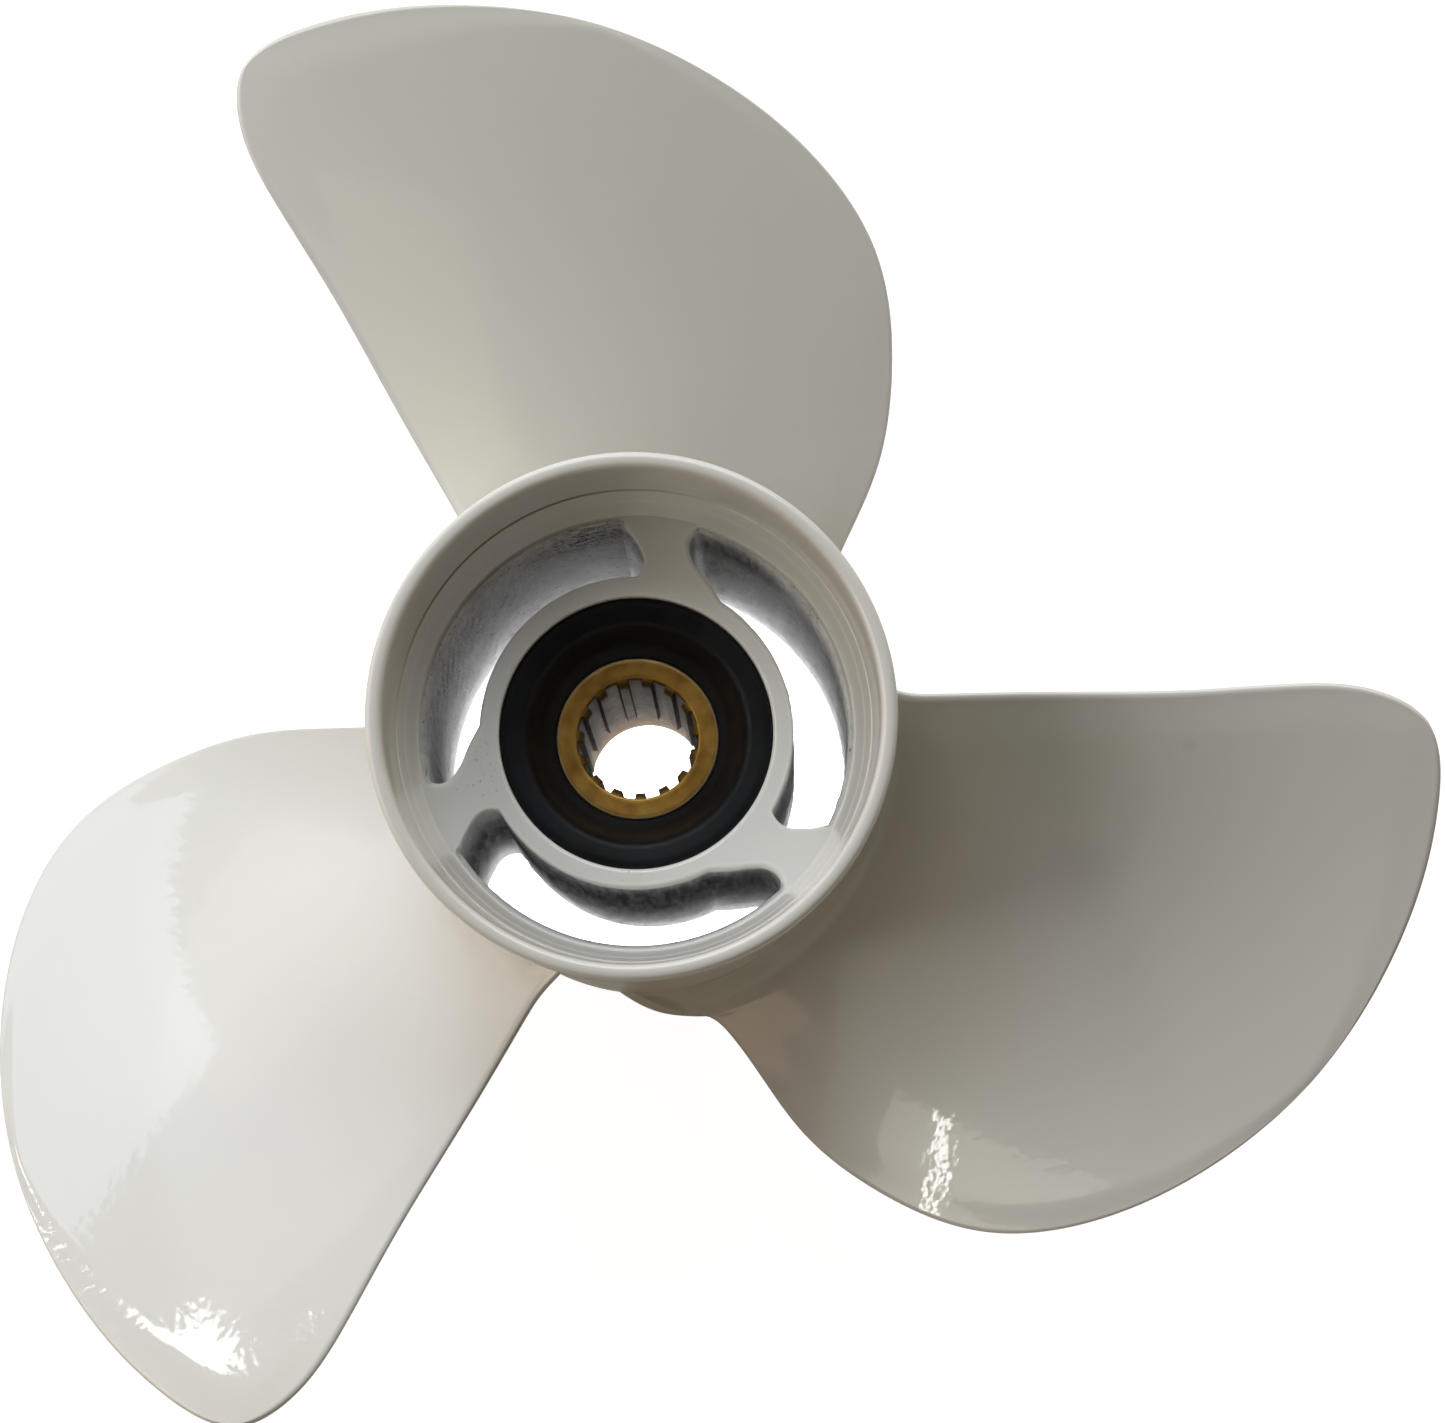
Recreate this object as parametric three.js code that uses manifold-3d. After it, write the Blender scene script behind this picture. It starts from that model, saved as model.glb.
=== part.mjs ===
// Three-blade right-hand boat propeller with an exhaust passage through its hub.
// The shaft axis is +Z and the aft end points up. The front rim of the hub is at z = 0.
// The hub and its blades are one casting, built here as a hub and three blades that meet it
// face to face. A rubber bush is pressed into the hub, and a brass sleeve with a splined bore
// is bonded into the bush. Lengths are in millimetres, angles in degrees.
import * as THREE from 'three';
import { mergeVertices } from 'three/addons/utils/BufferGeometryUtils.js';
import Module from 'manifold-3d';

const wasm = await Module();
wasm.setup();

// Blades
const BLADES = 3;
const PITCH = 356;
const BLADE_MID_Z = 47;        // height of the aft face at the blade's own 90 degree line
const PITCH_GROWTH = 0.12;     // the pitch is lower at the leading edge than at the trailing edge
const RAKE = 0.2;              // rise towards the tip, per millimetre of radius
const RAKE_RADIUS = 54;
const EDGE_THICKNESS = 2.4;
const TIP_THICKNESS = 4;
const ROOT_THICKNESS = 12;
const ROOT_RADIUS = 46.2;      // the blades start inside the barrel's wall
const ROOT_FILLET = 7;
const LOWEST_FACE_Z = 3.6;     // the root of the leading edge ends flush with the hub's front
const LOWEST_BACK_Z = 0.9;
const CHORD_STEPS = 14;
const SPAN_STEPS = 16;
const SPAN_CROWDING = 1.6;     // more rows near the root, where the fillet is

// Hub
const BARREL_LENGTH = 127.6;
const BARREL_FRONT_RADIUS = 47.9;
const BARREL_MIDDLE_RADIUS = 51.2;  // at BARREL_MIDDLE_Z
const BARREL_MIDDLE_Z = 90;
const BARREL_AFT_RADIUS = 54.5;
const RIM_INNER_RADIUS = 45.2;      // of the front rim
const PORT_OUTER_RADIUS = 44.6;
const BOSS_RADIUS = 33;
const BOSS_BORE_RADIUS = 29;
const BOSS_FRONT_Z = 5;
const BOSS_AFT_Z = 98;
const HUB_SEGMENTS = 64;
const OVERRUN = 3;             // how far a cutter runs past the faces it cuts

// Exhaust ports between the ribs, as [angle from the middle of the rib before, radius]. A port
// is round where it starts, follows the boss and then slants away from it to its far end.
const RIB_ANGLE = 81.3;
const PORT_START = [[8.4, 33], [6.5, 35], [6.2, 36.8], [7.1, 38.8], [9.1, 41.1], [11.2, 43.3]];
const PORT_END = [[111.3, 44.6], [112.8, 43.6], [113.3, 42.2], [112.8, 40.4], [110.6, 38.3], [104, 35.6]];
const PORT_OUTER_ARC = [13.2, 111.3];
const PORT_INNER_ARC = [96, 8.4];
const PORT_ARC_STEPS = 14;

// Bush and sleeve
const GAP = 0.3;
const BUSH_FRONT_Z = 14;
const BUSH_AFT_Z = 96;
const BUSH_CORNER = 1.2;
const BUSH_FLAT = 4.6;         // flat ring at the bush's aft edge, then a dish down to the sleeve
const BUSH_DISH_RADIUS = 21.3;
const SLEEVE_RADIUS = 17.25;
const SLEEVE_CHAMFER = 0.6;
const SLEEVE_FRONT_Z = 6;
const SLEEVE_AFT_Z = 87;
const SPLINE_TEETH = 15;
const SPLINE_ANGLE = 273;      // middle of one tooth
const SPLINE_TOOTH_HALF_ANGLE = 4.6;
const SPLINE_TIP_RADIUS = 11.5;
const SPLINE_GROOVE_RADIUS = 12.7;
const SPLINE_FRONT_Z = 27;
const FRONT_BORE_RADIUS = 12.9;
const SLEEVE_SEGMENTS = 60;

// Outside of the barrel from front to aft, as [radius, z]
const BARREL_WALL = [
  [48.9, 40], [BARREL_MIDDLE_RADIUS, BARREL_MIDDLE_Z], [52.3, 108], [54.1, 120],
  [BARREL_AFT_RADIUS, 124.6],
];

const rad = THREE.MathUtils.degToRad;

// Outline of a blade seen from aft, as [angle, radius] points from root to tip
const TRAILING_EDGE = [
  [130.8, ROOT_RADIUS], [128.8, 53], [127.8, 60], [126.2, 78.5], [125, 96.6],
  [124.2, 115], [123.9, 136.3], [122.6, 156.6], [120.4, 165.6],
];
const TIP = [[120.4, 165.6], [114.6, 169], [108, 167.9], [101.8, 165.4], [93.3, 160.4]];
const LEADING_EDGE = [
  [22, ROOT_RADIUS], [30, 52], [37.5, 53.2], [43, 54.6], [47.4, 61], [50.3, 72.2],
  [53.2, 87.8], [58.5, 106.8], [65.6, 126.8], [74.6, 141.4], [84.1, 152.2], [93.3, 160.4],
];

// ---------- solids ----------

function polar(radius, angle) {
  return new THREE.Vector2(radius * Math.cos(rad(angle)), radius * Math.sin(rad(angle)));
}

function toSolid(source) {
  const bare = source.clone();
  bare.deleteAttribute('normal');
  bare.deleteAttribute('uv');
  const merged = mergeVertices(bare, 1e-4);
  return new wasm.Manifold(new wasm.Mesh({
    numProp: 3,
    vertProperties: new Float32Array(merged.getAttribute('position').array),
    triVerts: new Uint32Array(merged.getIndex().array),
  }));
}

function toGeometry(solid) {
  const mesh = solid.getMesh();
  const geometry = new THREE.BufferGeometry();
  geometry.setAttribute('position', new THREE.BufferAttribute(mesh.vertProperties, 3));
  geometry.setIndex(new THREE.BufferAttribute(mesh.triVerts, 1));
  geometry.computeVertexNormals();
  return geometry;
}

// Turns a [radius, z] profile, given anticlockwise, about the shaft axis; it closes on itself
// or on the axis
function turned(profile, segments) {
  const points = profile.map(([radius, z]) => new THREE.Vector2(radius, z));
  if (points[0].x > 0) points.push(points[0].clone());
  return new THREE.LatheGeometry(points, segments).rotateX(Math.PI / 2);
}

function prism(shape, fromZ, toZ) {
  const options = { depth: toZ - fromZ, bevelEnabled: false };
  return new THREE.ExtrudeGeometry(shape, options).translate(0, 0, fromZ);
}

// ---------- blades ----------

const trailingCurve = new THREE.SplineCurve(TRAILING_EDGE.map(([a, r]) => polar(r, a)));
const leadingCurve = new THREE.SplineCurve(LEADING_EDGE.map(([a, r]) => polar(r, a)));
const tipCurve = new THREE.SplineCurve(TIP.map(([a, r]) => polar(r, a)));

function rootArc(chord) {
  const from = TRAILING_EDGE[0][0];
  const to = LEADING_EDGE[0][0];
  return polar(ROOT_RADIUS, THREE.MathUtils.lerp(from, to, chord));
}

// Plan position inside the four edges; chord runs from trailing to leading edge, span to the tip
function planPoint(chord, span) {
  const trailing = trailingCurve.getPointAt(span);
  const leading = leadingCurve.getPointAt(span);
  const across = trailing.clone().lerp(leading, chord);
  const along = rootArc(chord).lerp(tipCurve.getPointAt(chord), span);
  const rootLine = rootArc(0).lerp(rootArc(1), chord);
  const tipLine = tipCurve.getPointAt(0).lerp(tipCurve.getPointAt(1), chord);
  return across.add(along).sub(rootLine.lerp(tipLine, span));
}

// Height of the aft face, a screw surface with some growth of pitch towards the trailing edge
function faceHeight(x, y) {
  const turn = Math.atan2(y, x) - Math.PI / 2;
  const screw = (PITCH / (2 * Math.PI)) * (turn + PITCH_GROWTH * turn * turn);
  return BLADE_MID_Z + screw + RAKE * (Math.hypot(x, y) - RAKE_RADIUS);
}

function faceNormal(x, y) {
  const step = 0.1;
  const slopeX = (faceHeight(x + step, y) - faceHeight(x - step, y)) / (2 * step);
  const slopeY = (faceHeight(x, y + step) - faceHeight(x, y - step)) / (2 * step);
  return new THREE.Vector3(-slopeX, -slopeY, 1).normalize();
}

function bladeThickness(chord, span) {
  const middle = TIP_THICKNESS + (ROOT_THICKNESS - TIP_THICKNESS) * (1 - span) ** 1.5;
  return EDGE_THICKNESS + (middle - EDGE_THICKNESS) * Math.sin(Math.PI * chord);
}

function barrelRadius(z) {
  return THREE.MathUtils.mapLinear(z, 0, BARREL_MIDDLE_Z, BARREL_FRONT_RADIUS, BARREL_MIDDLE_RADIUS);
}

// How far a face is lifted by the fillet at a distance from the barrel
function filletLift(distance) {
  const left = ROOT_FILLET - THREE.MathUtils.clamp(distance, 0, ROOT_FILLET);
  return ROOT_FILLET - Math.sqrt(ROOT_FILLET ** 2 - left ** 2);
}

function bladePoint(chord, span, onBack) {
  const plan = planPoint(chord, span);
  const height = faceHeight(plan.x, plan.y);
  const normal = faceNormal(plan.x, plan.y);
  const lift = filletLift(plan.length() - barrelRadius(Math.max(height, 0)));
  const offset = onBack ? -bladeThickness(chord, span) - lift : lift;
  const point = new THREE.Vector3(plan.x, plan.y, height).addScaledVector(normal, offset);
  point.z = Math.max(point.z, onBack ? LOWEST_BACK_Z : LOWEST_FACE_Z);
  return point;
}

// A thin box whose grid of points is moved onto the blade's two faces
function bladeBlank() {
  const box = new THREE.BoxGeometry(1, 1, 1, CHORD_STEPS, SPAN_STEPS, 1);
  const position = box.getAttribute('position');
  for (let i = 0; i < position.count; i += 1) {
    const chord = position.getX(i) + 0.5;
    const span = (position.getY(i) + 0.5) ** SPAN_CROWDING;
    const point = bladePoint(chord, span, position.getZ(i) < 0);
    position.setXYZ(i, point.x, point.y, point.z);
  }
  return box;
}

// The barrel's outside, made larger by the gap that the blades keep to it
function bladeSeat() {
  return turned([
    [0, -OVERRUN], [BARREL_FRONT_RADIUS + GAP, -OVERRUN], [BARREL_FRONT_RADIUS + GAP, 1],
    ...BARREL_WALL.map(([radius, z]) => [radius + GAP, z]),
    [0, BARREL_LENGTH],
  ], HUB_SEGMENTS);
}

function bladeGeometry() {
  return toGeometry(toSolid(bladeBlank()).subtract(toSolid(bladeSeat())));
}

// ---------- hub ----------

const HUB_PROFILE = [
  [BOSS_BORE_RADIUS, BOSS_FRONT_Z], [RIM_INNER_RADIUS, BOSS_FRONT_Z], [RIM_INNER_RADIUS, 0],
  [BARREL_FRONT_RADIUS - 1, 0], [BARREL_FRONT_RADIUS, 1],
  ...BARREL_WALL, [54.1, 126.6], [53.1, BARREL_LENGTH], [52.1, 127.2], [51.5, 126],
  [50.1, 116], [49.2, 115.6], [47.9, 106], [47, 105.6],
  [45.4, BOSS_AFT_Z], [BOSS_BORE_RADIUS + 1, BOSS_AFT_Z], [BOSS_BORE_RADIUS, BOSS_AFT_Z - 1],
];

function arc(radius, [from, to]) {
  const angleAt = (i) => THREE.MathUtils.lerp(from, to, i / PORT_ARC_STEPS);
  return Array.from({ length: PORT_ARC_STEPS }, (_, i) => [angleAt(i), radius]);
}

function portShape(ribAngle) {
  const outline = [
    ...arc(PORT_OUTER_RADIUS, PORT_OUTER_ARC), ...PORT_END,
    ...arc(BOSS_RADIUS, PORT_INNER_ARC), ...PORT_START,
  ];
  return new THREE.Shape(outline.map(([angle, radius]) => polar(radius, ribAngle + angle)));
}

function hubGeometry() {
  let solid = toSolid(turned(HUB_PROFILE, HUB_SEGMENTS));
  for (let i = 0; i < BLADES; i += 1) {
    const port = portShape(RIB_ANGLE + 360 / BLADES * i);
    solid = solid.subtract(toSolid(prism(port, BOSS_FRONT_Z - OVERRUN, BOSS_AFT_Z + OVERRUN)));
  }
  return toGeometry(solid);
}

// ---------- bush ----------

// Both ends are dished round the sleeve
function bushGeometry() {
  const outer = BOSS_BORE_RADIUS - GAP;
  const inner = SLEEVE_RADIUS + GAP;
  return turned([
    [inner, BUSH_FRONT_Z + 4], [BUSH_DISH_RADIUS, BUSH_FRONT_Z],
    [outer - BUSH_CORNER, BUSH_FRONT_Z], [outer, BUSH_FRONT_Z + BUSH_CORNER],
    [outer, BUSH_AFT_Z - BUSH_CORNER], [outer - BUSH_CORNER, BUSH_AFT_Z],
    [outer - BUSH_FLAT, BUSH_AFT_Z], [BUSH_DISH_RADIUS, BUSH_AFT_Z - 5], [inner, BUSH_AFT_Z - 10],
  ], HUB_SEGMENTS);
}

// ---------- sleeve ----------

function splineShape() {
  const points = [];
  const step = 360 / SPLINE_TEETH;
  for (let i = 0; i < SPLINE_TEETH; i += 1) {
    const middle = SPLINE_ANGLE + step * i;
    points.push(polar(SPLINE_TIP_RADIUS, middle - SPLINE_TOOTH_HALF_ANGLE));
    points.push(polar(SPLINE_TIP_RADIUS, middle + SPLINE_TOOTH_HALF_ANGLE));
    points.push(polar(SPLINE_GROOVE_RADIUS, middle + SPLINE_TOOTH_HALF_ANGLE + 0.6));
    points.push(polar(SPLINE_GROOVE_RADIUS, middle + step / 2));
    points.push(polar(SPLINE_GROOVE_RADIUS, middle + step - SPLINE_TOOTH_HALF_ANGLE - 0.6));
  }
  return new THREE.Shape(points);
}

function sleeveGeometry() {
  const body = turned([
    [0, SLEEVE_FRONT_Z], [SLEEVE_RADIUS - SLEEVE_CHAMFER, SLEEVE_FRONT_Z],
    [SLEEVE_RADIUS, SLEEVE_FRONT_Z + SLEEVE_CHAMFER],
    [SLEEVE_RADIUS, SLEEVE_AFT_Z - SLEEVE_CHAMFER],
    [SLEEVE_RADIUS - SLEEVE_CHAMFER, SLEEVE_AFT_Z], [0, SLEEVE_AFT_Z],
  ], SLEEVE_SEGMENTS);
  const spline = prism(splineShape(), SLEEVE_FRONT_Z - OVERRUN, SLEEVE_AFT_Z + OVERRUN);
  const frontBore = turned([
    [0, SLEEVE_FRONT_Z - OVERRUN], [FRONT_BORE_RADIUS, SLEEVE_FRONT_Z - OVERRUN],
    [FRONT_BORE_RADIUS, SPLINE_FRONT_Z - 1], [0, SPLINE_FRONT_Z + 6],
  ], SLEEVE_SEGMENTS);
  return toGeometry(toSolid(body).subtract(toSolid(spline)).subtract(toSolid(frontBore)));
}

// ---------- assembly ----------

function part(name, geometry, color, roughness, metalness) {
  const mesh = new THREE.Mesh(geometry, new THREE.MeshStandardMaterial({ color, roughness, metalness }));
  mesh.name = name;
  return mesh;
}

const propeller = new THREE.Group();
propeller.name = 'propeller';
propeller.add(part('hub_casting', hubGeometry(), 0xdcdad4, 0.25, 0));
const blade = bladeGeometry();
for (let i = 0; i < BLADES; i += 1) {
  const mesh = part(`blade_${i + 1}`, blade, 0xdcdad4, 0.25, 0);
  mesh.rotation.z = rad(-360 / BLADES * i);
  propeller.add(mesh);
}
propeller.add(part('rubber_bush', bushGeometry(), 0x141414, 0.45, 0));
propeller.add(part('splined_sleeve', sleeveGeometry(), 0xa67c33, 0.35, 1));

export default propeller;
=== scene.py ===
"""Boat propeller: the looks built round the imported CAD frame.

The casting, the rubber bush and the brass sleeve are rebuilt as fine meshes inside the CAD
sizes, with procedural materials, on a pale floor under soft studio light.
Lengths are in millimetres and angles in degrees, except on the stage (floor, lights and
camera), which is in metres. Every mesh is scaled to metres when it is made.
"""

import math

import bmesh
import bpy
import numpy as np
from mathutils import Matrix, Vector
from mathutils.geometry import delaunay_2d_cdt


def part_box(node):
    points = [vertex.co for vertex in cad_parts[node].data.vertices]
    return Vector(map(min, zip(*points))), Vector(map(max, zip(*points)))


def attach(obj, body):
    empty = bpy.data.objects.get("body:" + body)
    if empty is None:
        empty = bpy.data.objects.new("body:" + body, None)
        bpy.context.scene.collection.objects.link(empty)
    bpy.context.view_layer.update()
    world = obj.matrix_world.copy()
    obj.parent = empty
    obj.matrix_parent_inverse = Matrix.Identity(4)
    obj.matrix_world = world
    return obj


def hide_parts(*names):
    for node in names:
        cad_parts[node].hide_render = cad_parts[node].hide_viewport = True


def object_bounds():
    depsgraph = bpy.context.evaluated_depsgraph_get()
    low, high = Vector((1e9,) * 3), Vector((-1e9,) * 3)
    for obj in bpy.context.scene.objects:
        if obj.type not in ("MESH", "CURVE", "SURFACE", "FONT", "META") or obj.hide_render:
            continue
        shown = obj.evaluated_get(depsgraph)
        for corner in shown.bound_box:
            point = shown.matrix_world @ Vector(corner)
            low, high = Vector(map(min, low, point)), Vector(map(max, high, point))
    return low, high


MM = 0.001

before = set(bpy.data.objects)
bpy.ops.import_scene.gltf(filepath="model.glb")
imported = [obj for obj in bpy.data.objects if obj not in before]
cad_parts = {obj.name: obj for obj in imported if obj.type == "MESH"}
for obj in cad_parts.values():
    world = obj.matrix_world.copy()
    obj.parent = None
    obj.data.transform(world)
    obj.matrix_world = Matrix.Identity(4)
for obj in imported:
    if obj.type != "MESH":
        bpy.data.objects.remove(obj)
cad_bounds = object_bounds()


def box_mm(node):
    low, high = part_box(node)
    return np.array(low) / MM, np.array(high) / MM


_, hub_high = box_mm("hub_casting")
bush_low, bush_high = box_mm("rubber_bush")
sleeve_low, sleeve_high = box_mm("splined_sleeve")

# Hub
HUB_LENGTH = hub_high[2]
BUSH_RADIUS = bush_high[0]
BUSH_FRONT, BUSH_AFT = bush_low[2], bush_high[2]
SLEEVE_RADIUS = sleeve_high[0]
SLEEVE_FRONT, SLEEVE_AFT = sleeve_low[2], sleeve_high[2]
BOSS_BORE = BUSH_RADIUS + 0.1
BOSS_AFT = BUSH_AFT + 2
BOSS_FRONT = 5.0
BOSS_RADIUS = 33.0
PORT_RADIUS = 44.6
RIM_INNER = 45.2
BARREL_FRONT_RADIUS = 47.9
BARREL_MIDDLE_RADIUS = 51.2
BARREL_MIDDLE = 90.0
BARREL_AFT_RADIUS = 54.5
GROOVE_RADIUS = 50.2
GROOVE_FRONT, GROOVE_AFT = 109.8, 111.0
BURIED_RADIUS = 47.0      # the boss plate ends here, inside the barrel's wall
HUB_STEPS = 256

# Section of the barrel, as (radius, z, rounding of the corner): outside from front to aft, then inside
BARREL_SECTION = [
    (RIM_INNER, 0, 0.4), (BARREL_FRONT_RADIUS, 0, 1.2), (48.9, 40, 8),
    (BARREL_MIDDLE_RADIUS, BARREL_MIDDLE, 8), (52.3, 108, 5), (54.1, 119.5, 3),
    (BARREL_AFT_RADIUS, 124, 1.5), (BARREL_AFT_RADIUS - 0.1, HUB_LENGTH, 1.4),
    (51.3, HUB_LENGTH, 1.4), (50.8, 124.6, 1), (49.4, GROOVE_AFT, 0.08),
    (GROOVE_RADIUS, GROOVE_AFT - 0.2, 0.08), (GROOVE_RADIUS, GROOVE_FRONT + 0.3, 0.08),
    (49.2, GROOVE_FRONT, 0.2), (48.2, 105.4, 2.0), (47.8, 104.4, 2.0), (46.7, 100.2, 2.0),
    (45.95, BOSS_AFT, 0.3), (BURIED_RADIUS - 0.6, BOSS_AFT - 2, 0),
    (BURIED_RADIUS - 0.6, BOSS_FRONT + 2, 0), (RIM_INNER, BOSS_FRONT + 0.5, 0),
]

# Ports: their ends, as (angle from the middle of the rib before the port, radius)
RIB_ANGLE = 81.3
PORT_START = [
    (8.4, BOSS_RADIUS), (6.5, 35.0), (6.2, 36.8), (7.1, 38.8), (9.1, 41.1), (11.2, 43.3),
    (13.2, PORT_RADIUS),
]
PORT_END = [
    (111.3, PORT_RADIUS), (112.8, 43.6), (113.3, 42.2), (112.8, 40.4), (110.6, 38.3),
    (104.0, 35.6), (96.0, BOSS_RADIUS),
]
PORT_STEPS = 260
PORT_ROWS = 44
PORT_FRONT_EDGE = 0.5
BORE_ROWS = 6
BORE_AFT_EDGE, BORE_FRONT_EDGE = 1.0, 0.8
EDGE_STEPS = 8
CRISP_EDGE, DULL_EDGE = 0.45, 1.2
DULL_FROM, DULL_SPAN = 30, 60     # the edge grows dull over this stretch of a port's angle
BARREL_ROLL = (1.4, 4.0)          # width and depth of the roll where a port meets the barrel
ROLL_START = PORT_RADIUS - 1.0
ROLL_SPAN = 0.9
FLAT_MARGIN = 0.3                 # a flat border round each hole, so that the faces shade flat
WALL_WAVES = 14                   # slow waves in a port's wall, left by the sand core
WAVE_HEIGHT = 0.04
WAVES_ROUND = (3, 40)             # ranges of a wave's count round the port,
WAVE_PHASE = (0, 7)               # of its phase in radians
WAVE_SLANT = (0.02, 0.35)         # and of the change of phase with depth
WAVE_RISE = 20                    # how fast the waves grow from the wall's two edges

# Blades
BLADES = 3
PITCH = 356.0
BLADE_MIDDLE = 47.0
PITCH_GROWTH = 0.12
RAKE = 0.2
RAKE_RADIUS = 54.0
EDGE_THICKNESS = 2.4
TIP_THICKNESS = 4.0
ROOT_THICKNESS = 12.0
TIP_FADE = 16.0           # the belly grows over this distance from the tip
EDGE_ROLL = 0.4           # how far the aft face rolls off towards the edge
ROLL_REACH = 10.0
ROOT_RADIUS = 46.2
ROOT_FILLET = 7.0
FILLET_START = 0.3
FILLET_FADE = 9.0         # the fillet runs out over this distance from the blade's edges
LOWEST_FACE = 3.6
LOWEST_EDGE = 1.3
LOWEST_BACK = 0.9
LOWEST_REACH = 6.0
CHORD_STEPS = 150
SPAN_STEPS = 190
CURVE_STEPS = 4000
# Outline seen from aft, as (angle, radius) from the trailing root round the tip to the leading root
OUTLINE = [
    (132.6, ROOT_RADIUS), (130.9, 52), (129.9, 54), (128.9, 56.3), (128.1, 59), (127.5, 63),
    (126.2, 78.5), (125, 96.6), (124.2, 115), (123.9, 136.3), (122.6, 156.4), (120.4, 165.2),
    (114.6, 168.6), (108, 167.5), (101.8, 165), (93.3, 160), (84.1, 151.8), (74.6, 141),
    (65.6, 126.4), (58.5, 106.5), (53.2, 87.6), (50.3, 72.2), (47.4, 61), (43, 54.6),
    (37.5, 53.2), (30, 51.4), (17, ROOT_RADIUS),
]
TIP_FIRST, TIP_LAST = 11, 15      # the outline's points between which the tip runs

# Bush
BUSH_INNER = SLEEVE_RADIUS + 0.05
BUSH_SECTION = [
    (BUSH_INNER, BUSH_FRONT + 4, 0.5), (21.3, BUSH_FRONT, 1.5), (BUSH_RADIUS, BUSH_FRONT, 1.2),
    (BUSH_RADIUS, BUSH_AFT - 0.2, 0.9), (27.2, BUSH_AFT, 1.4), (23.6, BUSH_AFT - 0.5, 1.2),
    (22.3, BUSH_AFT - 2.4, 1.6), (20.2, BUSH_AFT - 7.2, 2.4), (BUSH_INNER, BUSH_AFT - 9.6, 0.3),
]

# Splines
TEETH = 15
TOOTH_MIDDLE = 273.0
TOOTH_HALF_ANGLE = 4.6
TOOTH_FLANK = 1.1
TIP_BORE = 11.5
GROOVE_BORE = 12.7
FRONT_BORE = 12.9
MOUTH_BORE = GROOVE_BORE + 0.35
FACE_BORE = MOUTH_BORE + 0.2
SPLINE_FRONT = 27.0


# ---------- mesh helpers ----------

LARGEST_CUT = 0.45


def new_object(name, points, faces, material, sharp_angle=None):
    mesh = bpy.data.meshes.new(name)
    mesh.from_pydata((np.asarray(points, float) * MM).tolist(), [], faces)
    mesh.materials.append(material)
    mesh.validate()
    mesh.update()
    return place_mesh(mesh, sharp_angle)


def place_mesh(mesh, sharp_angle=None):
    """Smooths a mesh, except at edges sharper than an angle, and puts it in the scene."""
    mesh.polygons.foreach_set("use_smooth", [True] * len(mesh.polygons))
    if sharp_angle is not None:
        mesh.set_sharp_from_angle(angle=math.radians(sharp_angle))
    obj = bpy.data.objects.new(mesh.name, mesh)
    bpy.context.scene.collection.objects.link(obj)
    return obj


def smooth_step(x):
    t = np.clip(x, 0, 1)
    return t * t * (3 - 2 * t)


def soft_max(a, b, blend=2.0):
    """The larger of two, with the corner between them rounded."""
    return (a + b + np.sqrt((a - b) ** 2 + blend ** 2)) / 2


def polar(radius, angle):
    """Plan points from radii and angles."""
    return np.stack([radius * np.cos(np.radians(angle)), radius * np.sin(np.radians(angle))], -1)


def natural_spline(points, count):
    """A smooth curve through the points, as count rows, and each point's share of the way along."""
    points = np.asarray(points, float)
    steps = np.hypot(*np.diff(points, axis=0).T)
    at = np.concatenate([[0], np.cumsum(steps)])
    n = len(points)
    system = np.eye(n)
    right = np.zeros((n, 2))
    for i in range(1, n - 1):
        slope_before = (points[i] - points[i - 1]) / steps[i - 1]
        slope_after = (points[i + 1] - points[i]) / steps[i]
        system[i, i - 1:i + 2] = steps[i - 1], 2 * (steps[i - 1] + steps[i]), steps[i]
        right[i] = 6 * (slope_after - slope_before)
    bend = np.linalg.solve(system, right)
    where = np.linspace(0, at[-1], count)
    k = np.clip(np.searchsorted(at, where, side="right") - 1, 0, n - 2)
    h = steps[k][:, None]
    a = (at[k + 1] - where)[:, None]
    b = (where - at[k])[:, None]
    curve = (bend[k] * a ** 3 + bend[k + 1] * b ** 3) / (6 * h)
    curve += (points[k] / h - bend[k] * h / 6) * a + (points[k + 1] / h - bend[k + 1] * h / 6) * b
    return curve, at / at[-1]


def resample(curve, shares):
    """Points at the given shares of a curve's length."""
    length = np.concatenate([[0], np.cumsum(np.hypot(*np.diff(curve, axis=0).T))])
    where = np.asarray(shares) * length[-1]
    return np.stack([np.interp(where, length, curve[:, k]) for k in (0, 1)], -1)


def ring_faces(rows, columns):
    """Quads of a grid whose rows and columns both close on themselves."""
    faces = []
    for i in range(rows):
        for j in range(columns):
            k = (j + 1) % columns
            low, high = i * columns, (i + 1) % rows * columns
            faces.append((low + j, low + k, high + k, high + j))
    return faces


def turned(name, section, material, corner_steps=5):
    """A closed section of (radius, z, rounding), anticlockwise, turned about the shaft axis."""
    angles = np.linspace(0, 2 * math.pi, HUB_STEPS, endpoint=False)
    profile = rounded(section, corner_steps)
    points = np.stack([
        profile[:, :1] * np.cos(angles),
        profile[:, :1] * np.sin(angles),
        np.repeat(profile[:, 1:], HUB_STEPS, 1),
    ], -1).reshape(-1, 3)
    return new_object(name, points, ring_faces(len(profile), HUB_STEPS), material, sharp_angle=35)


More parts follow.
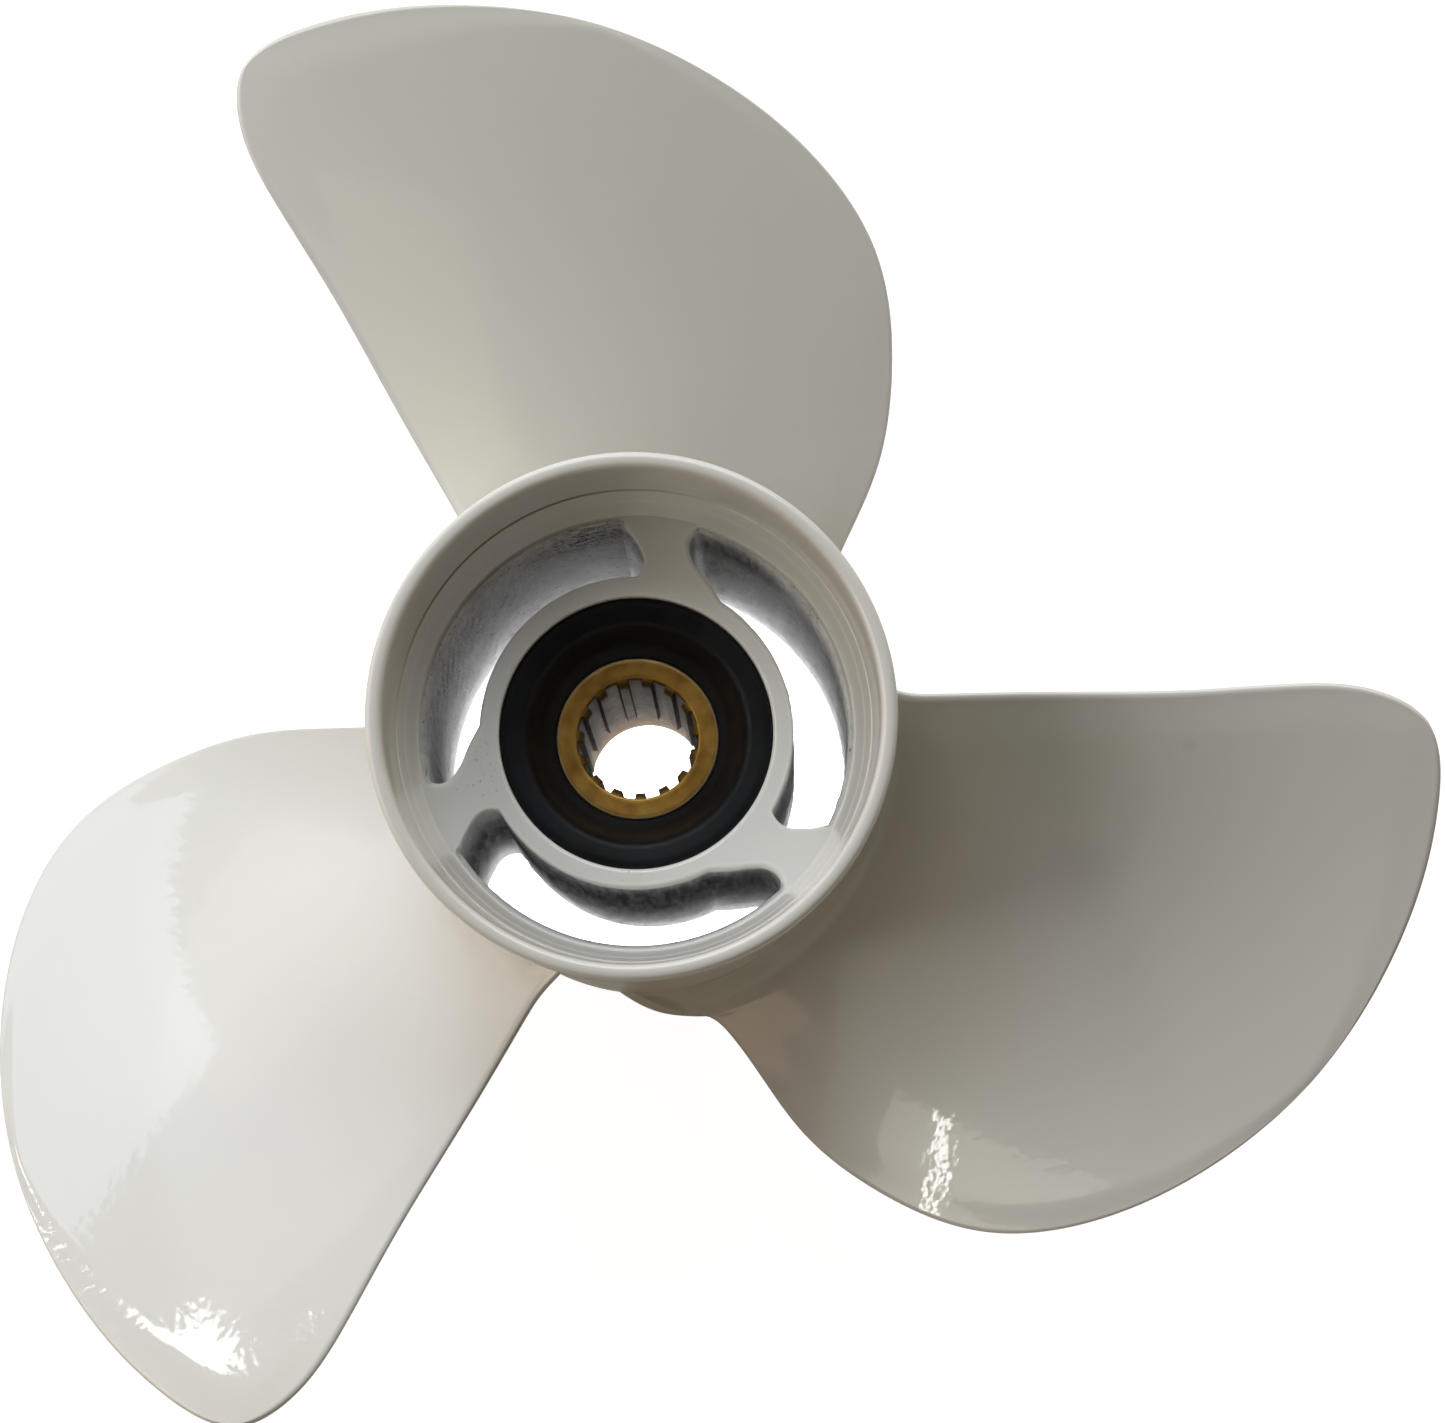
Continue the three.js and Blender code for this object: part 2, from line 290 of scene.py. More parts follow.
def rounded(section, steps):
    """The outline of a closed section, with each corner rounded as much as it asks for, or by
    LARGEST_CUT of its shorter side if that is less."""
    points = np.array([corner[:2] for corner in section], float)
    result = []
    for i, corner in enumerate(points):
        before, after = points[i - 1] - corner, points[(i + 1) % len(points)] - corner
        shorter = min(np.linalg.norm(before), np.linalg.norm(after))
        cut = min(section[i][2], shorter * LARGEST_CUT)
        if cut < 1e-6:
            result.append(corner)
            continue
        start = corner + before / np.linalg.norm(before) * cut
        end = corner + after / np.linalg.norm(after) * cut
        for t in np.linspace(0, 1, steps + 1):
            result.append((1 - t) ** 2 * start + 2 * t * (1 - t) * corner + t ** 2 * end)
    return np.array(result)


# ---------- materials ----------

ENAMEL_TONE = (0.87, 0.855, 0.822)
ENAMEL_SHADE = (0.854, 0.839, 0.805)
# dark of the specks, and of the painted shade in the barrel's groove
SPECK_AND_SHADE_TONE = (0.30, 0.28, 0.25)
CAST_LIGHT = (0.88, 0.88, 0.89)
CAST_SHADE = (0.60, 0.60, 0.605)
# painted shade deep in the ports
CAST_PAINTED_SHADE = (0.36, 0.36, 0.36)
# dark of the soot streaks and of the painted shade in the ports
SOOT_AND_SHADE_TONE = (0.03, 0.03, 0.032)
RUBBER_SHADE = (0.0045, 0.0047, 0.0052)
RUBBER_BLOOM = (0.0085, 0.0088, 0.0100)
BRASS_SHADE = (0.33, 0.165, 0.030)
BRASS_TONE = (0.50, 0.26, 0.050)
BRASS_LIGHT = (0.60, 0.36, 0.10)
# pale brass of the face's outer edge: worn brass and a painted highlight on its chamfer
BRASS_WORN_HIGHLIGHT = (0.80, 0.66, 0.42)
BRASS_TINT = (1.0, 0.80, 0.58)
BORE_SHADE = (0.078, 0.042, 0.013)
BORE_TONE = (0.12, 0.070, 0.026)

# Marks and painted shade on the casting, as (radius, angle, height, reach)
GRIT_LEFT_RIB = (33.5, 193, BOSS_AFT, 9)
GRIT_LOWER_RIB = (32.5, 268, BOSS_AFT, 6)
GRIT_RIGHT_WALL = (50.0, 5, 118, 6)
BLADE_BLEMISH = (116.617, -0.983, 90, 2.2)
# painted shade deep in the barrel's groove, on its upper-left side
GROOVE_SHADE_PATCH = (50.0, 128, 110, 52)
WRINKLES_TOP_RIB = (44.0, 104, 86, 17)
WRINKLES_RIGHT_RIB = (39.0, 310, 88, 11)
# soot streaks with painted shade: by the left rib, under the boss and by the upper rib
SOOT_SHADE_LEFT_RIB = (40.0, 218, 54, 38)
SOOT_SHADE_BOSS = (34.0, 276, 70, 54)
SOOT_SHADE_UPPER_RIB = (44.0, 62, 86, 16)

# Painted shade: the walls of the ports are painted deep grey at the first height, deep in the ports, and
# in full tone from the second
DEEP_HEIGHT, LIT_HEIGHT = 25, 88


class Shader:
    """A node tree with one Principled shader and short calls to add to it."""

    def __init__(self, name):
        self.material = bpy.data.materials.new(name)
        self.material.use_nodes = True
        self.tree = self.material.node_tree
        self.shader = self.tree.nodes["Principled BSDF"]
        self.place = self.add("ShaderNodeTexCoord").outputs["Object"]

    def add(self, kind, **settings):
        node = self.tree.nodes.new(kind)
        for key, value in settings.items():
            setattr(node, key, value)
        return node

    def link(self, source, target):
        self.tree.links.new(source, target)

    def set(self, **values):
        for key, value in values.items():
            self.shader.inputs[key.replace("_", " ")].default_value = value

    def drive(self, **sockets):
        for key, socket in sockets.items():
            self.link(socket, self.shader.inputs[key.replace("_", " ")])

    def noise(self, size_mm, detail=3.0, roughness=0.5, place=None):
        node = self.add("ShaderNodeTexNoise")
        node.inputs["Scale"].default_value = 1 / (size_mm * MM)
        node.inputs["Detail"].default_value = detail
        node.inputs["Roughness"].default_value = roughness
        self.link(place or self.place, node.inputs["Vector"])
        return node.outputs["Fac"]

    def stretched(self, x, y, z):
        """The place, scaled along each axis."""
        node = self.add("ShaderNodeVectorMath", operation="MULTIPLY")
        node.inputs[1].default_value = (x, y, z)
        self.link(self.place, node.inputs[0])
        return node.outputs[0]

    def patch(self, radius, angle, height, reach):
        """1 round a place, falling to 0 at a distance from it."""
        node = self.add("ShaderNodeVectorMath", operation="DISTANCE")
        node.inputs[1].default_value = [value * MM for value in (*polar(radius, angle), height)]
        self.link(self.place, node.inputs[0])
        return self.span_mm(node.outputs["Value"], reach, reach * 0.3)

    def ramp(self, value, stops):
        node = self.add("ShaderNodeValToRGB")
        elements = node.color_ramp.elements
        while len(elements) < len(stops):
            elements.new(0.5)
        for element, (position, color) in zip(elements, stops):
            element.position = position
            element.color = (*color, 1) if isinstance(color, tuple) else (color, color, color, 1)
        self.link(value, node.inputs["Fac"])
        return node.outputs["Color"]

    def span(self, value, low, high, to_low=0.0, to_high=1.0):
        """A value carried from one range to another, and held at the ends."""
        node = self.add("ShaderNodeMapRange", clamp=True)
        sockets = ("From Min", "From Max", "To Min", "To Max")
        for key, number in zip(sockets, (low, high, to_low, to_high)):
            node.inputs[key].default_value = number
        self.link(value, node.inputs["Value"])
        return node.outputs["Result"]

    def span_mm(self, value, low, high):
        return self.span(value, low * MM, high * MM)

    def math(self, operation, a, b=0.0):
        node = self.add("ShaderNodeMath", operation=operation)
        for socket, value in zip(node.inputs, (a, b)):
            if isinstance(value, (int, float)):
                socket.default_value = value
            else:
                self.link(value, socket)
        return node.outputs[0]

    def times(self, *values):
        result = values[0]
        for value in values[1:]:
            result = self.math("MULTIPLY", result, value)
        return result

    def most(self, *values):
        result = values[0]
        for value in values[1:]:
            result = self.math("MAXIMUM", result, value)
        return result

    def mix(self, factor, a, b):
        node = self.add("ShaderNodeMix", data_type="RGBA")
        for socket, value in ((node.inputs[0], factor), (node.inputs[6], a), (node.inputs[7], b)):
            if isinstance(value, tuple):
                socket.default_value = (*value, 1)
            else:
                self.link(value, socket)
        return node.outputs[2]

    def radius_and_height(self):
        split = self.add("ShaderNodeSeparateXYZ")
        self.link(self.place, split.inputs[0])
        x, y, height = split.outputs
        squares = self.math("ADD", self.times(x, x), self.times(y, y))
        return self.math("SQRT", squares), height

    def bump(self, *layers, coat=False):
        """Layers of (height, depth in millimetres), each on top of the one before."""
        normal = None
        for height, depth in layers:
            node = self.add("ShaderNodeBump")
            node.inputs["Distance"].default_value = depth * MM
            self.link(height, node.inputs["Height"])
            if normal is not None:
                self.link(normal, node.inputs["Normal"])
            normal = node.outputs["Normal"]
        self.drive(Normal=normal)
        if coat:
            self.drive(Coat_Normal=normal)


def enamel_material():
    """Gloss off-white enamel sprayed on a casting: orange peel, a few specks in the paint of the
    hub, painted shade deep in the barrel's groove on its upper-left side, and one faint blemish on a
    blade."""
    s = Shader("white_enamel")
    s.set(Coat_Weight=0.6, Coat_Roughness=0.045, Coat_IOR=1.5)
    tone = s.ramp(s.noise(60, 2), [(0.35, ENAMEL_SHADE), (0.65, ENAMEL_TONE)])
    grit = s.ramp(s.noise(0.9, 2), [(0.66, 0.0), (0.70, 1.0)])
    gritty = s.most(s.patch(*GRIT_LEFT_RIB), s.patch(*GRIT_LOWER_RIB), s.patch(*GRIT_RIGHT_WALL))
    specks = s.times(grit, gritty)
    blemish = s.times(s.patch(*BLADE_BLEMISH), 0.10)
    # specks, blemish and painted shade in the groove, all drawn towards the speck tone
    marks_and_painted_shade = s.most(s.times(specks, 0.7), blemish, groove_painted_shade(s))
    s.drive(Base_Color=s.mix(marks_and_painted_shade, tone, SPECK_AND_SHADE_TONE))
    s.drive(Roughness=s.span(s.noise(30, 2), 0.0, 1.0, 0.27, 0.33))
    s.bump((s.noise(24, 2), 0.06), (s.noise(2.2, 1), 0.026), (specks, 0.03), coat=True)
    return s.material


# Painted shade: the bottom of the barrel's groove, darkened on its upper-left side, where shade falls
def groove_painted_shade(s):
    radius, height = s.radius_and_height()
    deep = s.span_mm(radius, GROOVE_RADIUS + 0.6, GROOVE_RADIUS + 0.4)
    past_front = s.span_mm(height, GROOVE_FRONT - 0.2, GROOVE_FRONT + 0.1)
    before_aft = s.span_mm(height, GROOVE_AFT + 0.2, GROOVE_AFT - 0.1)
    return s.times(deep, past_front, before_aft, s.patch(*GROOVE_SHADE_PATCH))


def cast_wall_material():
    """Thin paint over as-cast walls: grey, grained along the shaft, pitted, wrinkled by two of
    the ribs, with painted shade that darkens them towards the front, and streaks of soot and painted
    shade in places. The enamel of the faces runs a little way over the edge."""
    s = Shader("cast_wall")
    s.set(Specular_IOR_Level=0.12)
    grain = s.noise(2.2, 5, 0.65, s.stretched(1, 1, 0.22))
    uneven = s.times(s.math("ADD", grain, s.noise(9, 3)), 0.5)
    tone = s.ramp(uneven, [(0.36, CAST_SHADE), (0.62, CAST_LIGHT)])
    radius, height = s.radius_and_height()
    # painted shade: the walls turn deep grey towards the front of the ports
    tone = s.mix(s.span_mm(height, DEEP_HEIGHT, LIT_HEIGHT), CAST_PAINTED_SHADE, tone)
    pores = s.ramp(s.noise(1.5, 3), [(0.62, 0.0), (0.68, 1.0)])
    # streaks of soot and painted shade
    soot_and_shade_mask = soot_and_shade(s)
    dark = s.most(s.times(pores, 0.5), wrinkles(s), s.times(soot_and_shade_mask, 0.92))
    over_edge = s.span_mm(height, BOSS_AFT - 3.5, BOSS_AFT - 0.6)
    at_barrel = s.span_mm(height, BOSS_AFT - 0.8, BOSS_AFT - 0.1)
    painted = s.mix(s.span_mm(radius, ROLL_START, PORT_RADIUS), over_edge, at_barrel)
    s.drive(Base_Color=s.mix(painted, s.mix(dark, tone, SOOT_AND_SHADE_TONE), ENAMEL_TONE))
    roughness = s.span(grain, 0.3, 0.7, 0.5, 0.72)
    s.drive(Roughness=s.math("ADD", roughness, s.times(soot_and_shade_mask, 0.25)))
    unpainted = s.math("SUBTRACT", 1.0, painted)
    rough_skin = s.times(grain, unpainted)
    pitted_skin = s.times(s.math("SUBTRACT", 1.0, dark), unpainted)
    s.bump((rough_skin, 0.5), (pitted_skin, 0.5))
    return s.material


def wrinkles(s):
    """Folds in the skin of the casting, by two of the ribs."""
    ripple = s.math("SUBTRACT", s.noise(3.4, 5, 0.6, s.stretched(1, 1, 1.7)), 0.5)
    folds = s.span(s.math("ABSOLUTE", ripple), 0.050, 0.008)
    return s.times(folds, s.most(s.patch(*WRINKLES_TOP_RIB), s.patch(*WRINKLES_RIGHT_RIB)))


def soot_and_shade(s):
    """Streaks of soot and painted shade along the shaft, heaviest by the left rib and under the boss."""
    streaks = s.ramp(s.noise(1.6, 3, 0.6, s.stretched(1, 1, 0.1)), [(0.42, 1.0), (0.62, 0.65)])
    by_boss = s.times(s.patch(*SOOT_SHADE_BOSS), 0.9)
    by_upper_rib = s.times(s.patch(*SOOT_SHADE_UPPER_RIB), 0.75)
    return s.times(s.most(s.patch(*SOOT_SHADE_LEFT_RIB), by_boss, by_upper_rib), streaks)


def rubber_material():
    """Moulded black rubber with a faint bloom and fine grain."""
    s = Shader("black_rubber")
    s.set(Specular_IOR_Level=0.22)
    s.drive(Base_Color=s.ramp(s.noise(14, 4), [(0.35, RUBBER_SHADE), (0.7, RUBBER_BLOOM)]))
    s.drive(Roughness=s.span(s.noise(5, 4), 0.3, 0.7, 0.42, 0.55))
    s.bump((s.noise(12, 2), 0.12), (s.noise(0.7, 2), 0.02))
    return s.material


def brass_material():
    """Turned brass, golden and a little tarnished on the face, dull and brown inside the bore."""
    s = Shader("sleeve_brass")
    s.set(Specular_Tint=(*BRASS_TINT, 1))
    radius, height = s.radius_and_height()
    face = s.ramp(s.noise(5, 5), [(0.3, BRASS_SHADE), (0.52, BRASS_TONE), (0.8, BRASS_LIGHT)])
    # worn brass and a painted highlight on the chamfer of the face's outer edge
    worn_and_highlit_edge = s.span_mm(radius, SLEEVE_RADIUS - 0.7, SLEEVE_RADIUS - 0.1)
    face = s.mix(s.times(worn_and_highlit_edge, 0.7), face, BRASS_WORN_HIGHLIGHT)
    bore = s.ramp(s.noise(3, 4), [(0.3, BORE_SHADE), (0.7, BORE_TONE)])
    in_bore = s.span_mm(radius, FACE_BORE + 0.35, FACE_BORE + 0.05)
    below_mouth = s.span_mm(height, SLEEVE_AFT - 0.25, SLEEVE_AFT - 0.9)
    inside = s.times(in_bore, below_mouth)
    s.drive(
        Base_Color=s.mix(inside, face, bore),
        Metallic=s.span(inside, 0, 1, 0.45, 0.10),
        Specular_IOR_Level=s.span(inside, 0, 1, 0.5, 0.1),
    )
    tarnish = s.span(s.noise(2.5, 4), 0.3, 0.7, 0.36, 0.50)
    s.drive(Roughness=s.math("ADD", tarnish, s.times(inside, 0.24)))
    turning = s.add("ShaderNodeTexWave", wave_type="RINGS", rings_direction="Z", wave_profile="SIN")
    turning.inputs["Scale"].default_value = 1 / (1.6 * MM)
    turning.inputs["Distortion"].default_value = 0.6
    s.link(s.place, turning.inputs["Vector"])
    s.bump((s.noise(4, 3), 0.05), (turning.outputs["Fac"], 0.010), (s.noise(0.6, 2), 0.02))
    return s.material


def floor_material(name, tone, glow):
    s = Shader(name)
    s.set(Base_Color=(tone, tone, tone, 1), Roughness=0.9)
    s.set(Emission_Color=(1, 1, 1, 1), Emission_Strength=glow)
    return s.material


enamel = enamel_material()
cast_wall = cast_wall_material()
rubber = rubber_material()
brass = brass_material()


# ---------- blades ----------

def crowded(count):
    """Shares from 0 to 1, closer together at both ends."""
    return (1 - np.cos(math.pi * np.linspace(0, 1, count))) / 2


def face_height(x, y):
    """Height of a blade's aft face: a right-hand screw of slowly growing pitch, raked aft."""
    turn = np.arctan2(y, x) - math.pi / 2
    screw = PITCH / (2 * math.pi) * (turn + PITCH_GROWTH * turn * turn)
    return BLADE_MIDDLE + screw + RAKE * (np.hypot(x, y) - RAKE_RADIUS)


def face_normal(x, y):
    step = 0.1
    slope_x = (face_height(x + step, y) - face_height(x - step, y)) / (2 * step)
    slope_y = (face_height(x, y + step) - face_height(x, y - step)) / (2 * step)
    normal = np.stack([-slope_x, -slope_y, np.ones_like(x)], -1)
    return normal / np.linalg.norm(normal, axis=-1, keepdims=True)


def plan_grid(chord, span):
    """Plan points between the trailing edge, leading edge, root and tip (a Coons patch), with
    each point's distance to the nearest of the free edges, blended smoothly, and to the tip."""
    curve, at = natural_spline([polar(r, a) for a, r in OUTLINE], CURVE_STEPS)
    first, last = (int(at[i] * (CURVE_STEPS - 1)) for i in (TIP_FIRST, TIP_LAST))
    trailing = resample(curve[:first + 1], span)[:, None]
    tip = resample(curve[first:last + 1], chord)[None]
    leading = resample(curve[last:][::-1], span)[:, None]
    root_angles = OUTLINE[0][0] + (OUTLINE[-1][0] - OUTLINE[0][0]) * chord
    root = polar(np.full_like(chord, ROOT_RADIUS), root_angles)[None]
    c, s = chord[None, :, None], span[:, None, None]
    corners = (1 - s) * ((1 - c) * root[:, :1] + c * root[:, -1:])
    corners = corners + s * ((1 - c) * tip[:, :1] + c * tip[:, -1:])
    plan = (1 - c) * trailing + c * leading + (1 - s) * root + s * tip - corners
    gaps = [np.linalg.norm(plan - edge, axis=-1) + 1e-6 for edge in (trailing, leading, tip)]
    nearest = sum(gap ** -4.0 for gap in gaps) ** -0.25
    return plan, nearest, gaps[2]


def barrel_radius(z):
    """Outside radius of the barrel at a height."""
    share = z / BARREL_MIDDLE
    return BARREL_FRONT_RADIUS + (BARREL_MIDDLE_RADIUS - BARREL_FRONT_RADIUS) * share


def with_fillet(base, direction, run_out):
    """A surface lifted along a direction by the fillet at the barrel, which it meets tangentially."""
    full = base + direction * ROOT_FILLET
    gap = np.hypot(full[..., 0], full[..., 1]) - barrel_radius(np.maximum(full[..., 2], 0))
    left = ROOT_FILLET - np.clip(gap, 0, ROOT_FILLET)
    lift = ROOT_FILLET - np.sqrt(ROOT_FILLET ** 2 - left ** 2)
    return base + direction * (lift * run_out)[..., None]


def blade_surfaces(chord, span):
    """The aft face and the back of a blade, as two grids that meet along the rounded edge."""
    plan, edge_gap, tip_gap = plan_grid(chord, span)
    x, y = plan[..., 0], plan[..., 1]
    surface = np.stack([x, y, face_height(x, y)], -1)
    normal = face_normal(x, y)
    middle = TIP_THICKNESS + (ROOT_THICKNESS - TIP_THICKNESS) * (1 - span[:, None]) ** 1.5
    belly = (middle - EDGE_THICKNESS) * np.sin(math.pi * chord[None]) * smooth_step(tip_gap / TIP_FADE)
    half = EDGE_THICKNESS / 2
    nose = np.sqrt(1 - (1 - np.minimum(edge_gap, half) / half) ** 2)
    roll = EDGE_ROLL * (1 - smooth_step(edge_gap / ROLL_REACH))
    face = surface + normal * (half * (nose - 1) - roll * nose)[..., None]
    back = surface - normal * (half * (nose + 1) + belly)[..., None]
    run_out = smooth_step((edge_gap - FILLET_START) / FILLET_FADE)
    face = with_fillet(face, normal, run_out)
    back = with_fillet(back, -normal, run_out)
    lowest = LOWEST_EDGE + (LOWEST_FACE - LOWEST_EDGE) * smooth_step(edge_gap / LOWEST_REACH)
    face[..., 2] = soft_max(face[..., 2], lowest)
    back[..., 2] = soft_max(back[..., 2], LOWEST_BACK, 1.0)
    return face, back


def blade_mesh():
    chord, span = crowded(CHORD_STEPS), crowded(SPAN_STEPS)
    face, back = blade_surfaces(chord, span)
    rows, columns = face.shape[:2]
    index = np.arange(rows * columns).reshape(rows, columns)
    points = np.concatenate([face.reshape(-1, 3), back.reshape(-1, 3)])
    under = index + rows * columns
    under[:, 0], under[:, -1], under[-1] = index[:, 0], index[:, -1], index[-1]
    faces = []
    for i in range(rows - 1):
        for j in range(columns - 1):
            faces.append((index[i, j], index[i, j + 1], index[i + 1, j + 1], index[i + 1, j]))
            faces.append((under[i, j], under[i + 1, j], under[i + 1, j + 1], under[i, j + 1]))
    for j in range(columns - 1):
        faces.append((index[0, j], under[0, j], under[0, j + 1], index[0, j + 1]))
    return without_spares(points, faces)


def without_spares(points, faces):
    """Drops the points that no face uses, repeated corners, and faces left with two corners."""
    used = np.unique(np.array([corner for face in faces for corner in face]))
    renumber = np.full(len(points), -1)
    renumber[used] = np.arange(len(used))
    clean = [tuple(dict.fromkeys(int(renumber[corner]) for corner in face)) for face in faces]
    return points[used], [face for face in clean if len(face) > 2]


def make_blades():
    points, faces = blade_mesh()
    blades = []
    for i in range(BLADES):
        turn = math.radians(-360 / BLADES * i)
        c, s = math.cos(turn), math.sin(turn)
        spin = np.array([[c, -s, 0], [s, c, 0], [0, 0, 1]])
        blades.append(new_object(f"blade_skin_{i + 1}", points @ spin.T, faces, enamel))
    return blades


# ---------- barrel and boss ----------

def arc(radius, start, end, count=90):
    return polar(np.full(count, radius), np.linspace(start, end, count))


def port_outline(rib_angle):
    """The loop of a port: the barrel's side, the slanting end, the boss's side, the round end."""
    end, _ = natural_spline([polar(r, a + rib_angle) for a, r in PORT_END], 60)
    start, _ = natural_spline([polar(r, a + rib_angle) for a, r in PORT_START], 60)
    loop = np.concatenate([
        arc(PORT_RADIUS, rib_angle + PORT_START[-1][0], rib_angle + PORT_END[0][0]), end,
        arc(BOSS_RADIUS, rib_angle + PORT_END[-1][0], rib_angle + PORT_START[0][0]), start,
    ])
    apart = np.hypot(*np.diff(loop, axis=0).T) > 1e-4
    return resample(loop[np.append(True, apart)], np.arange(PORT_STEPS) / PORT_STEPS)


def port_edge(loop, rib_angle):
    """Width and depth of the rounding along a port's aft edge: a soft roll into the barrel's
    wall, crisp at the round end and duller towards the slanting end."""
    radius = np.hypot(*loop.T)
    angle = (np.degrees(np.arctan2(loop[:, 1], loop[:, 0])) - rib_angle) % 360
    edge = CRISP_EDGE + (DULL_EDGE - CRISP_EDGE) * smooth_step((angle - DULL_FROM) / DULL_SPAN)
    at_barrel = smooth_step((radius - ROLL_START) / ROLL_SPAN)
    return [edge + (roll - edge) * at_barrel for roll in BARREL_ROLL]


def outward(loop):
    """Unit normals in the plane, pointing away from the inside of an anticlockwise loop."""
    along = np.roll(loop, -1, 0) - np.roll(loop, 1, 0)
    normal = np.stack([along[:, 1], -along[:, 0]], -1)
    return normal / np.linalg.norm(normal, axis=1, keepdims=True)


def hole_wall(loop, width, depth, front_edge, rows, bumps=None):
    """Rows of points down the wall of a hole in the boss, with a rounded edge at both faces.
    The first and last rows lie flat on the faces, so that the shading of the faces stays flat."""
    count = len(loop)
    normal = outward(loop)
    width, depth = (np.broadcast_to(value, count) for value in (width, depth))
    turns = np.linspace(0, math.pi / 2, EDGE_STEPS)
    levels = [(width + FLAT_MARGIN, np.full(count, BOSS_AFT))]
    levels += [(width * (1 - math.sin(t)), BOSS_AFT - depth * (1 - math.cos(t))) for t in turns]
    for share in np.linspace(0, 1, rows)[1:-1]:
        z = (BOSS_AFT - depth) * (1 - share) + (BOSS_FRONT + front_edge) * share
        rise = float(smooth_step(min(share, 1 - share) * WAVE_RISE))
        levels.append((-bumps(z) * rise if bumps else np.zeros(count), z))
    for t in turns[::-1]:
        out, up = front_edge * (1 - math.sin(t)), front_edge * (1 - math.cos(t))
        levels.append((np.full(count, out), np.full(count, BOSS_FRONT + up)))
    levels.append((np.full(count, front_edge + FLAT_MARGIN), np.full(count, BOSS_FRONT)))
    return [np.column_stack([loop + normal * out[:, None], z]) for out, z in levels]


def cast_bumps(count, rng):
    """How far a wall bulges into its hole at each point, in slow waves, as a sand core leaves it."""
    around = np.arange(count) / count * 2 * math.pi
    waves = [
        (rng.integers(*WAVES_ROUND), rng.uniform(*WAVE_PHASE), rng.uniform(*WAVE_SLANT))
        for _ in range(WALL_WAVES)
    ]

    def bulge(z):
        total = sum(np.sin(n * around + phase + slant * z) for n, phase, slant in waves)
        return np.abs(total) * WAVE_HEIGHT

    return bulge


def inside_loop(point, loop):
    """Whether a point lies inside a closed plan loop, by counting crossings."""
    x, y = point
    after = np.roll(loop, -1, 0)
    spans = (loop[:, 1] > y) != (after[:, 1] > y)
    rise = np.where(spans, after[:, 1] - loop[:, 1], 1)
    crossing = loop[:, 0] + (y - loop[:, 1]) * (after[:, 0] - loop[:, 0]) / rise
    return bool(np.count_nonzero(spans & (x < crossing)) % 2)


def close_face(mesh, loops):
    """Fills between the outermost loop of vertices, the last, and the holes before it."""
    verts = [vert for loop in loops for vert in loop]
    edges = []
    first = 0
    for loop in loops:
        edges += [(first + i, first + (i + 1) % len(loop)) for i in range(len(loop))]
        first += len(loop)
    flat = [Vector((vert.co.x, vert.co.y)) for vert in verts]
    _, _, triangles, origins, _, _ = delaunay_2d_cdt(flat, edges, [], 0, 1e-9, True)
    *holes, rim = [np.array([vert.co[:2] for vert in loop]) for loop in loops]
    for triangle in triangles:
        corners = [verts[origins[i][0]] for i in triangle]
        middle = np.mean([corner.co[:2] for corner in corners], axis=0)
        if inside_loop(middle, rim) and not any(inside_loop(middle, hole) for hole in holes):
            mesh.faces.new(corners)


def add_wall(mesh, levels, slot):
    """Adds the wall's faces and returns its first and last rows of vertices."""
    rows = [[mesh.verts.new(point * MM) for point in level] for level in levels]
    for upper, lower in zip(rows, rows[1:]):
        for j in range(len(upper)):
            after = (j + 1) % len(upper)
            face = mesh.faces.new((upper[j], upper[after], lower[after], lower[j]))
            face.material_index = slot
    return rows[0], rows[-1]


def full_circle(radius):
    return polar(np.full(HUB_STEPS, radius), np.linspace(0, 360, HUB_STEPS, endpoint=False))


def boss_walls():
    """The walls of the bore, the ports and the buried rim, as (rows of points, material slot)."""
    painted, bare = 0, 1
    rng = np.random.default_rng(7)
    bore = hole_wall(
        full_circle(BOSS_BORE), BORE_AFT_EDGE, BORE_AFT_EDGE, BORE_FRONT_EDGE, BORE_ROWS
    )
    walls = [(bore, painted)]
    for i in range(BLADES):
        rib_angle = RIB_ANGLE + 360 / BLADES * i
        loop = port_outline(rib_angle)
        width, depth = port_edge(loop, rib_angle)
        bumps = cast_bumps(len(loop), rng)
        walls.append((hole_wall(loop, width, depth, PORT_FRONT_EDGE, PORT_ROWS, bumps), bare))
    rim = full_circle(BURIED_RADIUS)
    rim_rows = [np.column_stack([rim, np.full(HUB_STEPS, z)]) for z in (BOSS_AFT, BOSS_FRONT)]
    return [*walls, (rim_rows, painted)]


def make_boss():
    """The boss and its three ribs: a thick plate with a bore and three ports through it."""
    mesh = bmesh.new()
    ends = [add_wall(mesh, levels, slot) for levels, slot in boss_walls()]
    close_face(mesh, [aft for aft, _ in ends])
    close_face(mesh, [front for _, front in ends])
    bmesh.ops.recalc_face_normals(mesh, faces=mesh.faces)
    data = bpy.data.meshes.new("boss_and_ribs")
    mesh.to_mesh(data)
    mesh.free()
    data.materials.append(enamel)
    data.materials.append(cast_wall)
    return place_mesh(data, sharp_angle=30)


# ---------- sleeve ----------

def tooth_share(angle):
    """1 on a tooth, 0 in a groove, with sloping flanks."""
    step = 360 / TEETH
    off = np.abs((angle - TOOTH_MIDDLE + step / 2) % step - step / 2)
    return 1 - smooth_step((off - TOOTH_HALF_ANGLE) / TOOTH_FLANK)


def tooth_angles():
    """Angles round the bore, crowded on the flanks of the teeth."""
    half, flank, step = TOOTH_HALF_ANGLE, TOOTH_FLANK, 360 / TEETH
    on_tooth = [half * 0.5, half * 0.85]
    on_flank = [half + flank * share for share in (0, 0.25, 0.5, 0.75, 1, 1.6)]
    side = [*on_tooth, *on_flank, (half + flank + step / 2) / 2]
    offsets = sorted([0, step / 2, *side, *(-s for s in side)])
    return np.concatenate([TOOTH_MIDDLE + step * i + np.array(offsets) for i in range(TEETH)])


